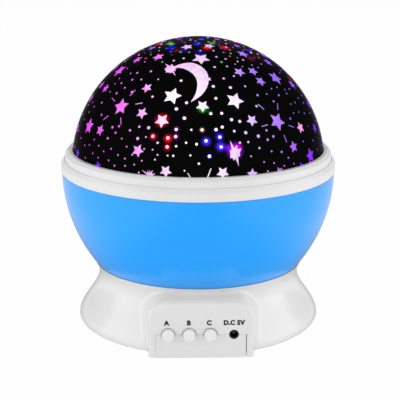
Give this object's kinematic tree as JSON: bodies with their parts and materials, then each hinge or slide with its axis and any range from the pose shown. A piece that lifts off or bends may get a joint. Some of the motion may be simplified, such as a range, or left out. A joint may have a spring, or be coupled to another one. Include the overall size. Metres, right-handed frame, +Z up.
{
  "type": "star night light projector",
  "caption": "Star night light projector: a globe with a star dome and bowl turns on a flared base with push buttons and a power socket.",
  "frame": {"origin": "on the ground, under the globe's turning axis", "axes": "+Z up; -Y points out of the control panel at the front; +X to the right of someone who faces the panel"},
  "size_m": [0.1246, 0.1246, 0.1307],
  "materials": {
    "white_plastic": "smooth white ABS, satin gloss",
    "white_cover": "fine textured white ABS",
    "blue_plastic": "smooth sky blue ABS, high gloss",
    "black_dome": "polished black dome with clear star windows",
    "button_plastic": "white moulded cap",
    "screw_steel": "zinc plated",
    "foot_rubber": "matt",
    "cell_wrap": "printed foil",
    "contact_metal": "nickel plated spring steel",
    "wire_insulation": "soft vinyl",
    "board_green": "green solder mask",
    "board_white": "white solder mask",
    "black_plastic": "moulded black nylon",
    "pin_brass": "plated",
    "motor_steel": "zinc plated can",
    "gear_nylon": "natural acetal",
    "inner_white": "plain moulded ABS",
    "circlip_steel": "blackened spring steel",
    "led_clear": "clear epoxy",
    "led_red_epoxy": "red epoxy",
    "led_green_epoxy": "green epoxy",
    "led_blue_epoxy": "blue epoxy"
  },
  "bodies": {
    "base": {"base_shell": "white_plastic", "base_plate": "white_cover", "base_screws": "screw_steel", "rubber_feet": "foot_rubber", "battery_cells": "cell_wrap", "battery_springs": "contact_metal", "battery_contacts": "contact_metal", "battery_wires": "wire_insulation", "main_board": "board_green", "board_screws": "screw_steel", "board_components": "black_plastic", "switch_bodies": "black_plastic", "dc_jack": "black_plastic", "dc_jack_pin": "pin_brass", "gear_motor": "motor_steel", "motor_screws": "screw_steel", "motor_wires": "wire_insulation", "lamp_column": "inner_white", "column_screws": "screw_steel", "thrust_washer": "pin_brass", "column_circlip": "circlip_steel", "led_holder": "inner_white", "led_board": "board_white", "led_white": "led_clear", "led_red": "led_red_epoxy", "led_green": "led_green_epoxy", "led_blue": "led_blue_epoxy", "led_wires": "wire_insulation"},
    "globe": {"bowl": "blue_plastic", "dome_ring": "white_plastic", "star_dome": "black_dome", "turntable": "inner_white", "ring_gear": "gear_nylon", "turntable_screws": "screw_steel"},
    "drive": {"drive_pinion": "gear_nylon", "motor_shaft": "motor_steel"},
    "key_a": {"button_a": "button_plastic", "plunger_a": "black_plastic"},
    "key_b": {"button_b": "button_plastic", "plunger_b": "black_plastic"},
    "key_c": {"button_c": "button_plastic", "plunger_c": "black_plastic"},
    "door": {"battery_door": "white_cover", "door_screw": "screw_steel"}
  },
  "joints": [
    {"name": "globe_spin", "type": "hinge", "parent": "base", "child": "globe", "pos_m": [0, 0, 0.027], "axis": [0, 0, 1], "continuous": true},
    {"name": "drive_spin", "type": "hinge", "parent": "base", "child": "drive", "pos_m": [0, -0.028, 0.02], "axis": [0, 0, 1], "continuous": true},
    {"name": "key_a_press", "type": "slide", "parent": "base", "child": "key_a", "axis": [0, 1, 0], "range_m": [0, 0.0005], "stiffness_N_per_m": 1000, "springref_m": -0.0006},
    {"name": "key_b_press", "type": "slide", "parent": "base", "child": "key_b", "axis": [0, 1, 0], "range_m": [0, 0.0005], "stiffness_N_per_m": 1000, "springref_m": -0.0006},
    {"name": "key_c_press", "type": "slide", "parent": "base", "child": "key_c", "axis": [0, 1, 0], "range_m": [0, 0.0005], "stiffness_N_per_m": 1000, "springref_m": -0.0006},
    {"name": "door_open", "type": "hinge", "parent": "base", "child": "door", "pos_m": [0, 0.03, 0.0022], "axis": [1, 0, 0], "range_deg": [0, 90]}
  ],
  "couplings": [
    {"joint": "drive_spin", "follows": "globe_spin", "ratio": -4}
  ]
}
